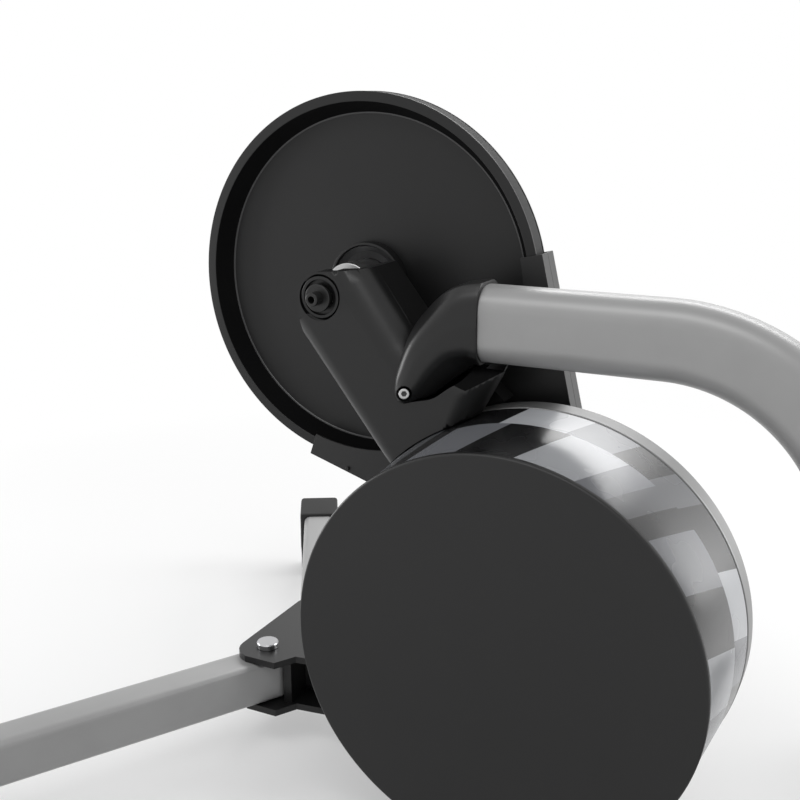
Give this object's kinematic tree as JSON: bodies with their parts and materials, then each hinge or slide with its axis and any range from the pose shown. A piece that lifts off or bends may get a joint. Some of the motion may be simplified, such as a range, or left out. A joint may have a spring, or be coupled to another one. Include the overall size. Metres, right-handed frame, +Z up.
{
  "type": "direct drive bike trainer",
  "caption": "Direct drive bike trainer: cantilevered axle with an exposed dished drive pulley, belt guard, drum flywheel, arched rear leg and folding front legs.",
  "frame": {"origin": "on the floor under the middle of the bounding box", "axes": "+X forwards (the way the bike faces), +Y to the bike's left, +Z up; the axle runs along Y"},
  "size_m": [0.6946, 0.6126, 0.524],
  "materials": {
    "black_paint": "powder coated",
    "black_pulley": "satin anodised",
    "moulded_black": "moulded",
    "guard_black": "fine texture",
    "band": "gloss, grey and black facets",
    "flange_grey": "satin",
    "tube_grey": "silver paint",
    "rubber": "matt",
    "steel": "machined",
    "silver": "satin",
    "bolt_silver": "zinc plated",
    "dark_metal": "black oxide",
    "copper": "enamelled wire",
    "board_green": "solder mask"
  },
  "bodies": {
    "frame": {"arm": "black_paint", "base_beam": "black_paint", "front_yoke": "black_paint", "adapter_lock_ring": "black_paint", "leg_socket": "moulded_black", "beam_end_plug": "moulded_black", "power_inlet": "moulded_black", "guard_near": "guard_black", "guard_far": "guard_black", "flange_cover": "guard_black", "brake_flange": "flange_grey", "rear_leg_tube": "tube_grey", "rear_foot_bar": "tube_grey", "rear_foot_left": "rubber", "rear_foot_right": "rubber", "drive_belt": "rubber", "axle": "steel", "idler_stud": "steel", "hub_bearing_left": "steel", "hub_bearing_right": "steel", "freehub_bearing": "steel", "shaft_bearing_left": "steel", "shaft_bearing_right": "steel", "leg_pin_left": "steel", "leg_pin_right": "steel", "spacer_sleeve": "silver", "socket_bolt": "bolt_silver", "left_adapter": "dark_metal", "right_adapter": "dark_metal", "guard_screw_1": "dark_metal", "guard_screw_2": "dark_metal", "guard_screw_3": "dark_metal", "guard_screw_4": "dark_metal", "base_bolt_1": "dark_metal", "base_bolt_2": "dark_metal", "brake_core": "dark_metal", "brake_coil_1": "copper", "brake_coil_2": "copper", "brake_coil_3": "copper", "brake_coil_4": "copper", "control_board": "board_green"},
    "drive": {"drive_pulley": "black_pulley", "drive_hub": "steel", "hub_clamp_ring": "black_pulley", "hub_screw_1": "dark_metal", "hub_screw_2": "dark_metal", "hub_screw_3": "dark_metal", "hub_screw_4": "dark_metal"},
    "freehub": {"freehub_body": "silver"},
    "flywheel": {"flywheel_drum": "steel", "flywheel_band": "band", "flywheel_cap": "moulded_black", "flywheel_shaft": "steel", "shaft_nut": "dark_metal", "small_pulley": "steel"},
    "idler": {"idler_roller": "silver"},
    "leg_left": {"front_leg_left": "tube_grey", "front_foot_left": "rubber"},
    "leg_right": {"front_leg_right": "tube_grey", "front_foot_right": "rubber"}
  },
  "joints": [
    {"name": "flywheel_spin", "type": "hinge", "parent": "frame", "child": "flywheel", "pos_m": [-0.05239, 0.06, 0.1707], "axis": [0, 1, 0], "continuous": true},
    {"name": "drive_spin", "type": "hinge", "parent": "frame", "child": "drive", "pos_m": [0.11221, -0.009, 0.382], "axis": [0, 1, 0], "continuous": true},
    {"name": "idler_spin", "type": "hinge", "parent": "frame", "child": "idler", "pos_m": [0.05021, -0.009, 0.195], "axis": [0, 1, 0], "continuous": true},
    {"name": "freehub_spin", "type": "hinge", "parent": "drive", "child": "freehub", "pos_m": [0.11221, -0.045, 0.382], "axis": [0, 1, 0], "continuous": true},
    {"name": "leg_left_fold", "type": "hinge", "parent": "frame", "child": "leg_left", "pos_m": [0.18221, 0.04, 0.057], "axis": [0, 0, 1], "range_deg": [-60, 0]},
    {"name": "leg_right_fold", "type": "hinge", "parent": "frame", "child": "leg_right", "pos_m": [0.18221, -0.04, 0.057], "axis": [0, 0, 1], "range_deg": [0, 60]}
  ],
  "couplings": [
    {"joint": "drive_spin", "follows": "flywheel_spin", "ratio": 0.13081},
    {"joint": "idler_spin", "follows": "flywheel_spin", "ratio": -1.1961}
  ]
}
